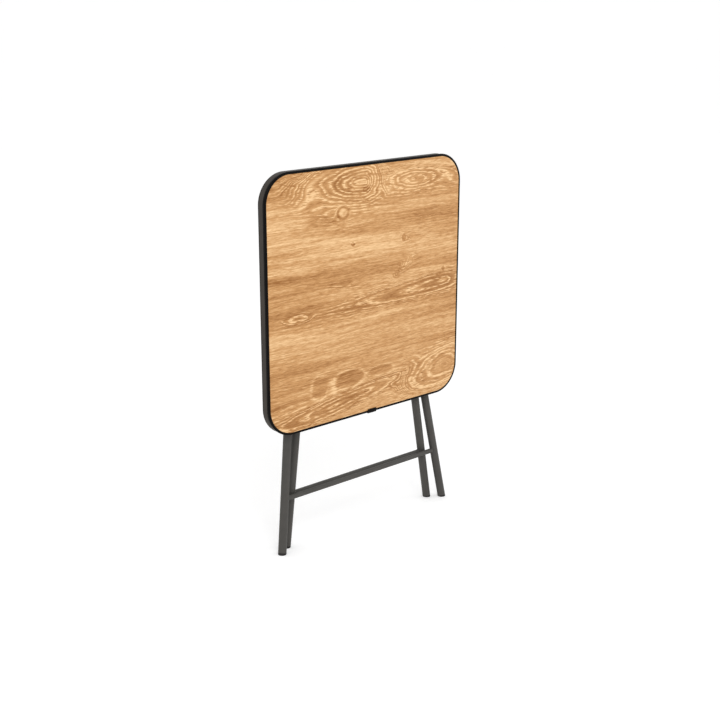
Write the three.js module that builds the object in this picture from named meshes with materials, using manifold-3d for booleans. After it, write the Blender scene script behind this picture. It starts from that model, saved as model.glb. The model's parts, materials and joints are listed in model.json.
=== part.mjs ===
// Folding side table: a square top with a tray rim, on two splayed tube frames that cross like
// scissors. The table is folded flat and stands on its feet: the top hangs upright in front, its
// face towards -Y, and both frames stand behind it. Millimetres, +Z up, +X along the table's width.
import * as THREE from 'three';
import { mergeVertices } from 'three/addons/utils/BufferGeometryUtils.js';
import Module from 'manifold-3d';

// ---------------------------------------------------------------- driving dimensions

const fit = 0.3;                // clearance between pieces that seat on or in each other

const top = {
  side: 600,                    // outside of the rim, both ways
  cornerRadius: 70,
  lowerEdge: 291,               // height of the rim's lower edge when folded
  faceRecess: 0.4,              // panel face below the rim's lip
  panelThickness: 9,
};
const rim = { depth: 24.6, wall: 1.5, lip: 5.7, ledge: 12, hem: 5 };
const clip = { centre: 11, length: 27, reach: 9, thickness: 0.8 };

const tube = { radius: 10, wall: 1.2, sides: 24 };
const outer = { footX: 264.1, splay: 0.152, lean: 0.0945 };
const inner = { footX: 232.7, splay: 0.144, overTop: 11 };
const legClearance = 0.46;      // outer legs behind the rim's lower edge, when folded
const footGap = 23.7;           // inner feet behind the outer feet, when folded
const pivotAboveEdge = 59.6;    // the frames' crossing above the rim's lower edge
const hingeInset = 172;         // the top's hinge line from its rear edge
const openAngle = Math.PI / 3;  // between the frames when the table is in use
const footLift = 4;             // tube end above the floor, along the leg
const plug = { shank: 13, topShank: 7, overBolt: 2, cap: 2.6, capRadius: 7.5 };
const stretcher = { radius: 6, wall: 1, height: 130 };
const catchBar = { radius: 8, wall: 1.2 };

const bolt = { radius: 4, headRadius: 6.5, headLength: 4.5, nutLength: 5, tail: 2.4 };
const spacer = { wall: 3, length: 4 };
const bush = { wall: 3, overEar: 0.25 };
const sleeve = { place: 60, wall: 1.8, length: 24 };

const rail = { endClearance: 1.9, width: 30, depth: 10, wall: 1.5, screwInset: 18 };
const plate = { thickness: 3, length: 64, width: 27, screwPlace: 24 };
const ear = { thickness: 3, rimWidth: 5, rootWidth: 27, mouthTurn: Math.PI / 8 };
const hook = { width: 22, wall: 5, lipReach: 7 };
const screw = { radius: 1.8, headRadius: 4, headLength: 2.2, pilotDepth: 6.2, tip: 2.5 };

const boltSides = 16;           // facets round a bolt and its holes
const screwSides = 12;

// ---------------------------------------------------------------- worked-out places

const X = new THREE.Vector3(1, 0, 0);
const Z = new THREE.Vector3(0, 0, 1);
const sides = [['left', -1], ['right', 1]];

const legY = (frame, height) => frame.footY + frame.lean * height;
const legX = (frame, height) => frame.footX - frame.splay * height;
const leanAngle = (frame) => Math.atan(frame.lean);

spacer.radius = bolt.radius + spacer.wall;
outer.overTop = plug.topShank + bolt.radius + plug.overBolt;

// Folded, the outer legs lean back just clear of the rim, and the inner legs meet them at the pivot.
outer.footY = rim.depth + legClearance + tube.radius * Math.hypot(1, outer.lean)
  - outer.lean * top.lowerEdge;
const pivotHeight = top.lowerEdge + pivotAboveEdge;
const pivot = { y: legY(outer, pivotHeight), z: pivotHeight };
inner.footY = outer.footY + footGap;
inner.lean = (pivot.y - inner.footY) / pivotHeight;

// In use both frames stand on the floor, openAngle apart, and the top lies level on the outer
// frame's hinge and the inner frame's bar. That fixes how far up the inner legs the bar sits.
const hingeHeight = top.lowerEdge + top.side - hingeInset;
const pivotToHinge = (hingeHeight - pivotHeight) / Math.cos(leanAngle(outer));
const outerLower = pivotHeight / Math.cos(leanAngle(outer));
const innerLower = pivotHeight / Math.cos(leanAngle(inner));
const outerTilt = Math.atan((outerLower / innerLower - Math.cos(openAngle)) / Math.sin(openAngle));
const innerTilt = openAngle - outerTilt;
const pivotToBar = pivotToHinge * (Math.cos(outerTilt) + Math.sin(leanAngle(outer)))
  / (Math.cos(innerTilt) + Math.sin(leanAngle(inner)));

const hinge = { y: legY(outer, hingeHeight), z: hingeHeight };
const barHeight = pivot.z + pivotToBar * Math.cos(leanAngle(inner));
const bar = { y: legY(inner, barHeight), z: barHeight };

// The top's own frame: origin in the middle of its face, +Z out of the face, +Y to its hinged edge.
const topCentre = top.lowerEdge + top.side / 2;
const hingeInTop = { y: hinge.z - topCentre, z: -hinge.y };
const hingeToCatch = pivotToHinge * Math.sin(outerTilt) + pivotToBar * Math.sin(innerTilt);
const catchInTop = { y: hingeInTop.y - hingeToCatch, z: -bar.y };
const panelBack = -(top.faceRecess + top.panelThickness);
const railTop = panelBack - fit;
const railFoot = railTop - rail.depth;
const plateTop = railFoot - fit;
const plateFoot = plateTop - plate.thickness;

// Both rails are one length, and end short of the rim's ledge where that is narrowest beside them.
const ledgeStraight = top.side / 2 - top.cornerRadius;
const railFarEdge = Math.max(Math.abs(hingeInTop.y), Math.abs(catchInTop.y)) + rail.width / 2;
const pastStraight = Math.max(0, railFarEdge - ledgeStraight);
const ledgeHalfWidth = ledgeStraight
  + Math.sqrt((top.cornerRadius - rim.ledge) ** 2 - pastStraight ** 2);
const railLength = 2 * (ledgeHalfWidth - rail.endClearance);

// Bolts, spacers and ears along X, measured outwards from the table's middle.
const legHalfWidth = (frame) => tube.radius * Math.hypot(1, frame.splay);
const clearOfLeg = (frame, reach) => legHalfWidth(frame) + frame.splay * reach + fit;
const outside = (frame, height, reach) => legX(frame, height) + clearOfLeg(frame, reach);
const inside = (frame, height, reach) => legX(frame, height) - clearOfLeg(frame, reach);
const hingeSpacerAt = outside(outer, hinge.z, spacer.radius);
const bushAt = hingeSpacerAt + spacer.length + fit;
const bushLength = ear.thickness + 2 * bush.overEar;
const earAt = bushAt + bush.overEar;
const hingeNutAt = bushAt + bushLength + fit;

// ---------------------------------------------------------------- solids and meshes

const wasm = await Module();
wasm.setup();

function solid(geometry) {
  const bare = geometry.clone();
  bare.deleteAttribute('normal');
  bare.deleteAttribute('uv');
  const merged = mergeVertices(bare, 1e-4);
  return new wasm.Manifold(new wasm.Mesh({
    numProp: 3,
    vertProperties: new Float32Array(merged.attributes.position.array),
    triVerts: new Uint32Array(merged.index.array),
  }));
}

function geometryOf(manifold) {
  const { vertProperties, triVerts } = manifold.getMesh();
  const geometry = new THREE.BufferGeometry();
  geometry.setAttribute('position', new THREE.Float32BufferAttribute(vertProperties, 3));
  geometry.setIndex(Array.from(triVerts));
  geometry.computeVertexNormals();
  return geometry;
}

// A round bar along +Z from low to high; six sides make a hexagon.
function rod(radius, low, high, segments = tube.sides, endRadius = radius) {
  return new THREE.CylinderGeometry(endRadius, radius, high - low, segments)
    .rotateX(Math.PI / 2)
    .translate(0, 0, (low + high) / 2);
}

function pipe(radius, wall, low, high) {
  return solid(rod(radius, low, high)).subtract(solid(rod(radius - wall, low - 1, high + 1)));
}

function box(x, y, z) {
  return new THREE.BoxGeometry(x[1] - x[0], y[1] - y[0], z[1] - z[0])
    .translate((x[0] + x[1]) / 2, (y[0] + y[1]) / 2, (z[0] + z[1]) / 2);
}

const alongX = new THREE.Matrix4().makeBasis(new THREE.Vector3(0, 1, 0), Z, X);

// An outline drawn in (Y, Z), extruded along X from one place to another.
function plateAlongX(points, from, to) {
  return new THREE.ExtrudeGeometry(new THREE.Shape(points), { depth: to - from, bevelEnabled: false })
    .applyMatrix4(alongX)
    .translate(from, 0, 0);
}

function arc(centre, radius, start, end, steps) {
  return Array.from({ length: steps + 1 }, (_, step) => {
    const angle = start + (end - start) * step / steps;
    return new THREE.Vector2(centre.y + radius * Math.cos(angle), centre.z + radius * Math.sin(angle));
  });
}

const finishes = {
  oakLaminate: new THREE.MeshStandardMaterial({ color: 0xd7a573, roughness: 0.45, metalness: 0 }),
  powderCoat: new THREE.MeshStandardMaterial({ color: 0x55534f, roughness: 0.42, metalness: 0.3 }),
  rimCoat: new THREE.MeshStandardMaterial({ color: 0x47423c, roughness: 0.5, metalness: 0.2 }),
  blackPlastic: new THREE.MeshStandardMaterial({ color: 0x1c1a19, roughness: 0.6, metalness: 0 }),
  zinc: new THREE.MeshStandardMaterial({ color: 0xb9bcc0, roughness: 0.35, metalness: 0.9 }),
};

function piece(name, shape, finish, group) {
  const geometry = shape instanceof wasm.Manifold ? geometryOf(shape) : shape;
  const mesh = new THREE.Mesh(geometry, finishes[finish]);
  mesh.name = name;
  group.add(mesh);
  return mesh;
}

// Turns a piece modelled along +Z so that it lies along X, outwards from the middle.
function layAcross(mesh, side, place) {
  mesh.quaternion.setFromUnitVectors(Z, X.clone().multiplyScalar(side));
  mesh.position.set(0, place.y, place.z);
}

// ---------------------------------------------------------------- the tube frames

// Position and turn of a leg whose own +Z runs up its centre line from the floor.
function legMatrix(frame, side) {
  const direction = new THREE.Vector3(-side * frame.splay, frame.lean, 1).normalize();
  const turn = new THREE.Quaternion().setFromUnitVectors(Z, direction);
  const foot = new THREE.Vector3(side * frame.footX, frame.footY, 0);
  return new THREE.Matrix4().compose(foot, turn, new THREE.Vector3(1, 1, 1));
}

const alongLeg = (frame, height) => height * Math.hypot(1, frame.splay, frame.lean);

function crossHole(frame, side, height) {
  const turnBack = new THREE.Quaternion().setFromRotationMatrix(legMatrix(frame, side)).invert();
  const across = X.clone().applyQuaternion(turnBack);
  const turn = new THREE.Quaternion().setFromUnitVectors(Z, across);
  return solid(rod(bolt.radius + fit, -3 * tube.radius, 3 * tube.radius, boltSides)
    .applyQuaternion(turn)
    .translate(0, 0, alongLeg(frame, height)));
}

function leg(frame, side, topEnd, holeHeights) {
  let shape = pipe(tube.radius, tube.wall, footLift, topEnd);
  for (const height of holeHeights) shape = shape.subtract(crossHole(frame, side, height));
  return shape;
}

// A plastic foot: a collar under the tube's end, cut level with the floor, and a shank inside it.
function foot(frame, side) {
  const underFloor = new THREE.BoxGeometry(80, 80, 40).translate(0, 0, -20);
  const turnBack = new THREE.Quaternion().setFromRotationMatrix(legMatrix(frame, side)).invert();
  return solid(rod(tube.radius, -8, footLift - fit))
    .add(solid(rod(tube.radius - tube.wall - fit, 0, footLift + plug.shank)))
    .subtract(solid(underFloor.applyQuaternion(turnBack)));
}

function topPlug(end) {
  return solid(rod(tube.radius, end + fit, end + fit + plug.cap, tube.sides, plug.capRadius))
    .add(solid(rod(tube.radius - tube.wall - fit, end - plug.topShank, end + fit + plug.cap / 2)));
}

// A tube across the frame, its ends shaped to the round of the legs.
function crossTube(frame, radius, wall, place) {
  const reach = legX(frame, place.z);
  const shape = pipe(radius, wall, -reach, reach);
  const toBar = new THREE.Matrix4()
    .makeRotationFromQuaternion(new THREE.Quaternion().setFromUnitVectors(Z, X))
    .setPosition(0, place.y, place.z)
    .invert();
  return sides.reduce((rest, [, side]) => {
    const round = rod(tube.radius + fit, 0, alongLeg(frame, place.z + 60));
    return rest.subtract(solid(round.applyMatrix4(toBar.clone().multiply(legMatrix(frame, side)))));
  }, shape);
}

function buildFrame(label, frame, topHeight, holeHeights, stretcherY) {
  const group = new THREE.Group();
  const topEnd = alongLeg(frame, topHeight) + frame.overTop;
  for (const [word, side] of sides) {
    const parts = [
      piece(`${label}_leg_${word}`, leg(frame, side, topEnd, holeHeights), 'powderCoat', group),
      piece(`${label}_foot_${word}`, foot(frame, side), 'blackPlastic', group),
      piece(`${label}_top_plug_${word}`, topPlug(topEnd), 'blackPlastic', group),
    ];
    const matrix = legMatrix(frame, side);
    for (const mesh of parts) matrix.decompose(mesh.position, mesh.quaternion, mesh.scale);
  }
  const place = { y: stretcherY, z: stretcher.height };
  const rung = crossTube(frame, stretcher.radius, stretcher.wall, place);
  layAcross(piece(`${label}_stretcher`, rung, 'powderCoat', group), 1, place);
  return group;
}

// ---------------------------------------------------------------- bolts

// A hexagon head from one place to another, with a round shank that reaches to the tail.
function headedBolt(from, to, tail) {
  const shank = tail > to ? [to - 1, tail] : [tail, from + 1];
  return solid(rod(bolt.headRadius, from, to, 6)).add(solid(rod(bolt.radius, ...shank, boltSides)));
}

const ring = (radius, from, to, segments) => solid(rod(radius, from, to, segments))
  .subtract(solid(rod(bolt.radius + fit, from - 1, to + 1, boltSides)));

// Hinge bolt: head inside the outer leg, then leg, spacer, the top's ear in its bush, and nut.
function buildHingeBolts(group) {
  const headTo = inside(outer, hinge.z, bolt.headRadius);
  const end = hingeNutAt + bolt.nutLength + bolt.tail;
  for (const [word, side] of sides) {
    const shapes = {
      bolt: headedBolt(headTo - bolt.headLength, headTo, end),
      spacer: ring(spacer.radius, hingeSpacerAt, hingeSpacerAt + spacer.length, tube.sides),
      nut: ring(bolt.headRadius, hingeNutAt, hingeNutAt + bolt.nutLength, 6),
    };
    for (const [kind, shape] of Object.entries(shapes)) {
      layAcross(piece(`hinge_${kind}_${word}`, shape, 'zinc', group), side, hinge);
    }
  }
}

// Pivot bolt: head outside the outer leg, then leg, spacer, inner leg, and nut on the inside.
function buildPivotBolts(group) {
  const headFrom = outside(outer, pivot.z, bolt.headRadius);
  const nutTo = inside(inner, pivot.z, bolt.headRadius);
  const nutFrom = nutTo - bolt.nutLength;
  const gap = [outside(inner, pivot.z, spacer.radius), inside(outer, pivot.z, spacer.radius)];
  for (const [word, side] of sides) {
    const shapes = {
      bolt: headedBolt(headFrom, headFrom + bolt.headLength, nutFrom - bolt.tail),
      spacer: ring(spacer.radius, gap[0], gap[1], tube.sides),
      nut: ring(bolt.headRadius, nutFrom, nutTo, 6),
    };
    for (const [kind, shape] of Object.entries(shapes)) {
      layAcross(piece(`pivot_${kind}_${word}`, shape, 'zinc', group), side, pivot);
    }
  }
}

// ---------------------------------------------------------------- nylon bearings

const mouth = -Math.PI / 2 - ear.mouthTurn;        // the way the hinge seats open, in the top's (Y, Z)
const seatStart = mouth + Math.PI / 2;
const seatEnd = seatStart + Math.PI;
const bushInner = bolt.radius + fit;
const bushOuter = bushInner + bush.wall;

// Half-round saddles between the hinge bolts and the ears of the top.
function buildBushes() {
  const group = new THREE.Group();
  const centre = { y: 0, z: 0 };
  const outline = [
    ...arc(centre, bushOuter, seatStart, seatEnd, 12),
    ...arc(centre, bushInner, seatEnd, seatStart, 12),
  ];
  for (const [word, side] of sides) {
    const reach = [side * bushAt, side * (bushAt + bushLength)].sort((a, b) => a - b);
    piece(`hinge_bush_${word}`, plateAlongX(outline, ...reach), 'blackPlastic', group);
  }
  group.position.set(0, hinge.y, hinge.z);
  group.rotation.x = Math.PI / 2;
  return group;
}

// Sleeves that turn on the inner frame's bar and drop into the hooks under the top.
function buildSleeves() {
  const group = new THREE.Group();
  const radius = catchBar.radius + fit + sleeve.wall;
  for (const [word, side] of sides) {
    const from = sleeve.place - sleeve.length / 2;
    const shape = pipe(radius, sleeve.wall, from, from + sleeve.length);
    layAcross(piece(`catch_sleeve_${word}`, shape, 'blackPlastic', group), side, bar);
  }
  return group;
}

// ---------------------------------------------------------------- the top

function roundedSquare(side, radius) {
  const corner = side / 2 - radius;
  const points = [];
  for (const [quarter, x, y] of [[0, 1, 1], [1, -1, 1], [2, -1, -1], [3, 1, -1]]) {
    const start = quarter * Math.PI / 2;
    points.push(...arc({ y: x * corner, z: y * corner }, radius, start, start + Math.PI / 2, 10));
  }
  return new THREE.Shape(points);
}

// The top's outline moved inwards, extruded from one level to another.
function slab(inset, from, to) {
  return new THREE.ExtrudeGeometry(
    roundedSquare(top.side - 2 * inset, top.cornerRadius - inset),
    { depth: to - from, bevelEnabled: false },
  ).translate(0, 0, from);
}

function band(width, from, to) {
  return solid(slab(0, from, to)).subtract(solid(slab(width, from - 1, to + 1)));
}

// Screws go in from below: their places across the top, and the level of the plate they hold.
const screws = [];
for (const [word, side] of sides) {
  for (const [which, place] of [['rear', hingeInTop], ['front', catchInTop]]) {
    const name = `${which}_rail_screw_${word}`;
    screws.push({ name, x: side * (railLength / 2 - rail.screwInset), y: place.y, under: railFoot });
  }
  for (const [place, offset] of [['inner', -1], ['outer', 1]]) {
    const hingeX = side * (earAt + ear.thickness / 2 + offset * plate.screwPlace);
    const catchX = side * (sleeve.place + offset * plate.screwPlace);
    screws.push({ name: `hinge_screw_${word}_${place}`, x: hingeX, y: hingeInTop.y, under: plateFoot });
    screws.push({ name: `catch_screw_${word}_${place}`, x: catchX, y: catchInTop.y, under: plateFoot });
  }
}
const screwTip = panelBack + screw.pilotDepth - fit;

function withScrewHoles(shape) {
  return screws.reduce((rest, { x, y }) => {
    const hole = rod(screw.radius + fit, plateFoot - 1, panelBack + screw.pilotDepth, screwSides);
    return rest.subtract(solid(hole.translate(x, y, 0)));
  }, shape);
}

function screwShape(under) {
  const headTop = under - fit;
  const headFoot = headTop - screw.headLength;
  const tipStart = screwTip - screw.tip;
  return solid(rod(0.8 * screw.headRadius, headFoot, headTop, screwSides, screw.headRadius))
    .add(solid(rod(screw.radius, headTop - 1, tipStart, screwSides)))
    .add(solid(rod(screw.radius, tipStart - 0.01, screwTip, screwSides, screw.radius / 3)));
}

// A shallow channel, open towards the panel.
function channel(place) {
  const half = rail.width / 2;
  const outline = [
    [-half, railTop], [-half, railFoot], [half, railFoot], [half, railTop],
    [half - rail.wall, railTop], [half - rail.wall, railFoot + rail.wall],
    [-half + rail.wall, railFoot + rail.wall], [-half + rail.wall, railTop],
  ].map(([y, z]) => new THREE.Vector2(place.y + y, z));
  return solid(plateAlongX(outline, -railLength / 2, railLength / 2));
}

function basePlate(centreX, place) {
  return solid(box(
    [centreX - plate.length / 2, centreX + plate.length / 2],
    [place.y - plate.width / 2, place.y + plate.width / 2],
    [plateFoot, plateTop],
  ));
}

// An ear that stands off the rear rail and ends in a half-round seat for the hinge bush.
function hingeBracket(side) {
  const seat = bushOuter + fit;
  const outline = [
    new THREE.Vector2(hingeInTop.y - ear.rootWidth / 2, plateFoot + 1),
    ...arc(hingeInTop, seat + ear.rimWidth, seatEnd, seatEnd, 1).slice(1),
    ...arc(hingeInTop, seat, seatEnd, seatStart, 14),
    ...arc(hingeInTop, seat + ear.rimWidth, seatStart, seatStart, 1).slice(1),
    new THREE.Vector2(hingeInTop.y + ear.rootWidth / 2, plateFoot + 1),
  ];
  const reach = [side * earAt, side * (earAt + ear.thickness)].sort((a, b) => a - b);
  return basePlate(side * (earAt + ear.thickness / 2), hingeInTop)
    .add(solid(plateAlongX(outline, ...reach)));
}

// A hook on the front rail, open towards the hinge, that the sleeve on the bar slides into.
function catchBracket(side) {
  const seat = catchBar.radius + fit + sleeve.wall + fit;
  const { y, z } = catchInTop;
  const back = y - seat - hook.wall;
  const land = y + seat + hook.wall;
  const outline = [
    new THREE.Vector2(back, plateFoot + 1),
    new THREE.Vector2(back, z - seat),
    new THREE.Vector2(back + hook.wall, z - seat - hook.wall),
    new THREE.Vector2(y + hook.lipReach, z - seat - hook.wall),
    new THREE.Vector2(y + hook.lipReach, z - seat),
    ...arc(catchInTop, seat, -Math.PI / 2, -Math.PI * 3 / 2, 14),
    new THREE.Vector2(land, z + seat),
    new THREE.Vector2(land - 2, plateFoot + 1),
  ];
  const middle = side * sleeve.place;
  return basePlate(middle, catchInTop)
    .add(solid(plateAlongX(outline, middle - hook.width / 2, middle + hook.width / 2)));
}

// A sheet clip over the joint in the rim, in the middle of the free edge.
function jointClip() {
  const edge = -top.side / 2;
  const near = edge - fit;
  const far = near - clip.thickness;
  const reach = edge + clip.reach;
  const [face, back] = [fit, -rim.depth - fit];
  const outline = [
    [reach, face], [reach, face + clip.thickness], [far, face + clip.thickness],
    [far, back - clip.thickness], [reach, back - clip.thickness], [reach, back],
    [near, back], [near, face],
  ].map(([y, z]) => new THREE.Vector2(y, z));
  return plateAlongX(outline, clip.centre - clip.length / 2, clip.centre + clip.length / 2);
}

function buildTop() {
  const group = new THREE.Group();
  const panel = solid(slab(rim.lip + fit, panelBack, -top.faceRecess));
  piece('top_panel', withScrewHoles(panel), 'oakLaminate', group);
  const rimShape = band(rim.wall, -rim.depth, 0)
    .add(band(rim.lip, -rim.wall, 0))
    .add(band(rim.ledge, railTop - rim.wall, railTop))
    .add(band(rim.hem, -rim.depth, -rim.depth + rim.wall));
  piece('rim_band', rimShape, 'rimCoat', group);
  piece('rim_joint_clip', jointClip(), 'rimCoat', group);
  piece('rear_rail', withScrewHoles(channel(hingeInTop)), 'powderCoat', group);
  piece('front_rail', withScrewHoles(channel(catchInTop)), 'powderCoat', group);
  for (const [word, side] of sides) {
    piece(`hinge_bracket_${word}`, withScrewHoles(hingeBracket(side)), 'powderCoat', group);
    piece(`catch_bracket_${word}`, withScrewHoles(catchBracket(side)), 'blackPlastic', group);
  }
  for (const { name, x, y, under } of screws) {
    piece(name, screwShape(under), 'zinc', group).position.set(x, y, 0);
  }
  group.position.z = topCentre;
  group.rotation.x = Math.PI / 2;
  return group;
}

// ---------------------------------------------------------------- the whole table

// The outer stretcher sits a little forward on its legs, so that the inner legs fold in behind it.
const innerStretcherY = legY(inner, stretcher.height);
const behindOuter = tube.radius * Math.hypot(1, inner.lean) + stretcher.radius + 2 * fit;
const outerStretcherY = Math.min(legY(outer, stretcher.height), innerStretcherY - behindOuter);

const outerFrame = buildFrame('outer', outer, hinge.z, [pivot.z, hinge.z], outerStretcherY);
buildHingeBolts(outerFrame);
buildPivotBolts(outerFrame);

const innerFrame = buildFrame('inner', inner, bar.z, [pivot.z], innerStretcherY);
const barShape = crossTube(inner, catchBar.radius, catchBar.wall, bar);
layAcross(piece('catch_bar', barShape, 'powderCoat', innerFrame), 1, bar);

const table = new THREE.Group();
table.add(outerFrame, innerFrame, buildSleeves(), buildBushes(), buildTop());

// The origin is on the floor, under the middle of the folded table.
const extent = new THREE.Box3().setFromObject(table, true);
table.position.y = -(extent.min.y + extent.max.y) / 2;

export default table;
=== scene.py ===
# %% [markdown]
# # A folding side table, folded flat
#
# The table has a square top with rounded corners. Its face is an oak-print laminate and a dark
# sheet-steel rim wraps round it. Two frames of round steel tube cross behind it like scissors.
# The measured model of every part comes first and fixes all the sizes. This script adds the
# looks: smooth tubes, a rolled rim, moulded feet, real screws, and a finish on each piece.

# %% Load the measured model
import json
import math
import random
from itertools import product

import bmesh
import bpy
from mathutils import Matrix, Vector
from mathutils.geometry import intersect_line_line


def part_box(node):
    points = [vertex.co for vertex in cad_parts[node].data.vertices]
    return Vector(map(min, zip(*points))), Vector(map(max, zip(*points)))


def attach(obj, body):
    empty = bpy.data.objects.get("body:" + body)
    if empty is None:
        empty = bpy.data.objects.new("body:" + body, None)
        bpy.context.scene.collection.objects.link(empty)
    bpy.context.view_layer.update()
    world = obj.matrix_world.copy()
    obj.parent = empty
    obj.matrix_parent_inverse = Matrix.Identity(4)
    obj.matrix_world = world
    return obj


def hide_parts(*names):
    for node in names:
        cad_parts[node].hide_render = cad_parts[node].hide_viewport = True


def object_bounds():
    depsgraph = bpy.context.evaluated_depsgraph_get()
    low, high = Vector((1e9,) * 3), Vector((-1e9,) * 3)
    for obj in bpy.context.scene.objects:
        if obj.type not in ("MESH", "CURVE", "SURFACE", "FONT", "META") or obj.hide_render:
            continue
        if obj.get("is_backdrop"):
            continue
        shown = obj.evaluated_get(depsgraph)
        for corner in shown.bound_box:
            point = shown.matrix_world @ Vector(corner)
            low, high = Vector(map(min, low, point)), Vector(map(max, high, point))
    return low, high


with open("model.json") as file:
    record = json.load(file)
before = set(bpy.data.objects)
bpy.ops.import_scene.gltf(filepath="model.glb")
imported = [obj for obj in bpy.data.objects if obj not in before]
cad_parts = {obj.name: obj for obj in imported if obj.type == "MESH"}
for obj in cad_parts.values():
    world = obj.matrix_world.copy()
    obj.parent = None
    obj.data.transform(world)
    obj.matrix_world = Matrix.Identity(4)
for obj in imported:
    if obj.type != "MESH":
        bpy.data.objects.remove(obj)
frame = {"nodes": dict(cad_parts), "record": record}

cad_low, cad_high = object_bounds()
MM = 0.001
SIDES = {"left": -1, "right": 1}
print(f"the folded table is {(cad_high.z - cad_low.z) / MM:.0f} mm high")

# %% [markdown]
# ## The camera
#
# The camera can stand anywhere, but the shape only reads well from the front corner, a little
# above the table's top edge. A target to track would aim it too. Here it is set by its place,
# heading and tilt, because these plain numbers repeat exactly and each can be changed on its
# own. The lens is a little long, which keeps the legs close to upright.

# %% Place the camera
CAMERA_PLACE = Vector((-1.873, -2.118, 1.259))
CAMERA_HEADING = math.radians(41.64)
CAMERA_TILT = math.radians(16.64)
CAMERA_LENS = 61.44
SENSOR_WIDTH = 36

camera_data = bpy.data.cameras.new("camera")
camera_data.lens = CAMERA_LENS
camera_data.sensor_width = SENSOR_WIDTH
camera = bpy.data.objects.new("camera", camera_data)
camera.location = CAMERA_PLACE
camera.rotation_euler = (math.pi / 2 - CAMERA_TILT, 0, -CAMERA_HEADING)
bpy.context.scene.collection.objects.link(camera)
bpy.context.scene.camera = camera
print("the camera stands", round((CAMERA_PLACE - (cad_low + cad_high) / 2).length, 2), "m away")

# %% [markdown]
# ## Floor, backdrop and light
#
# The table stands on a wide pale floor. A curved backdrop would need its own lighting. One flat
# sheet is enough here, because it runs on until its white meets the white world behind it. Pale
# paint alone comes out grey, so the floor glows a little, but only for the camera: the glow
# adds no light to the table, and the shadow stays.

# %% Make the floor
FLOOR_SIZE = 400.0
FLOOR_COLOUR = (0.93, 0.93, 0.93, 1)
FLOOR_GLOW = 0.24        # lifts the floor to white, so that only the shadow shows


def make_floor():
    """A square floor at the height of the feet, with a glow that only the camera sees."""
    mesh = bpy.data.meshes.new("floor")
    half = FLOOR_SIZE / 2
    corners = [(-half, -half, 0), (half, -half, 0), (half, half, 0), (-half, half, 0)]
    mesh.from_pydata(corners, [], [(0, 1, 2, 3)])
    material = bpy.data.materials.new("pale floor")
    material.use_nodes = True
    shader = material.node_tree.nodes["Principled BSDF"]
    shader.inputs["Base Color"].default_value = FLOOR_COLOUR
    shader.inputs["Roughness"].default_value = 0.9
    shader.inputs["Specular IOR Level"].default_value = 0.1
    path = material.node_tree.nodes.new("ShaderNodeLightPath")
    glow = material.node_tree.nodes.new("ShaderNodeMath")
    glow.operation = "MULTIPLY"
    glow.inputs[1].default_value = FLOOR_GLOW
    shader.inputs["Emission Color"].default_value = (1, 1, 1, 1)
    material.node_tree.links.new(path.outputs["Is Camera Ray"], glow.inputs[0])
    material.node_tree.links.new(glow.outputs[0], shader.inputs["Emission Strength"])
    mesh.materials.append(material)
    floor = bpy.data.objects.new("floor", mesh)
    bpy.context.scene.collection.objects.link(floor)
    floor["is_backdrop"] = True


make_floor()
print("the floor is", FLOOR_SIZE, "m wide")

# %% [markdown]
# The light is a bright, even world with two large soft lamps. Lamps alone would leave the back
# of the table black. Even light shows a colour as it is from every side, and the lamps only add
# the highlights along the tubes and one soft shadow.

# %% Make the world and the lamps
WORLD_STRENGTH = 0.82


def make_world():
    """An even world, pure white where the camera looks straight at it."""
    world = bpy.data.worlds.new("studio")
    world.use_nodes = True
    nodes, links = world.node_tree.nodes, world.node_tree.links
    background = nodes["Background"]
    background.inputs["Color"].default_value = (1, 1, 1, 1)
    path = nodes.new("ShaderNodeLightPath")
    blend = nodes.new("ShaderNodeMix")
    blend.data_type = "FLOAT"
    blend.inputs["A"].default_value = WORLD_STRENGTH
    blend.inputs["B"].default_value = 1.0
    links.new(path.outputs["Is Camera Ray"], blend.inputs["Factor"])
    links.new(blend.outputs["Result"], background.inputs["Strength"])
    bpy.context.scene.world = world


def add_lamp(name, place, size, power):
    """A square soft lamp that faces the middle of the table."""
    data = bpy.data.lights.new(name, "AREA")
    data.shape = "SQUARE"
    data.size = size
    data.energy = power
    lamp = bpy.data.objects.new(name, data)
    lamp.location = place
    aim = (cad_low + cad_high) / 2 - Vector(place)
    lamp.rotation_euler = aim.to_track_quat("-Z", "Y").to_euler()
    bpy.context.scene.collection.objects.link(lamp)


make_world()
add_lamp("key", (-1.6, -2.6, 2.6), 1.6, 26)
add_lamp("side", (2.6, -1.4, 1.5), 1.2, 12)
bpy.context.scene.view_settings.view_transform = "Standard"
print("the world's strength is", WORLD_STRENGTH, "and two lamps are on")

# %% [markdown]
# ## A small kit for finishes
#
# Each finish is a tree of shader nodes. Nodes can be wired by hand in the editor, but a printed
# wood needs dozens of sums, so a tiny helper writes them like arithmetic. Every call adds one
# node and returns its output socket, and a plain number can stand anywhere a socket can.


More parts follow.
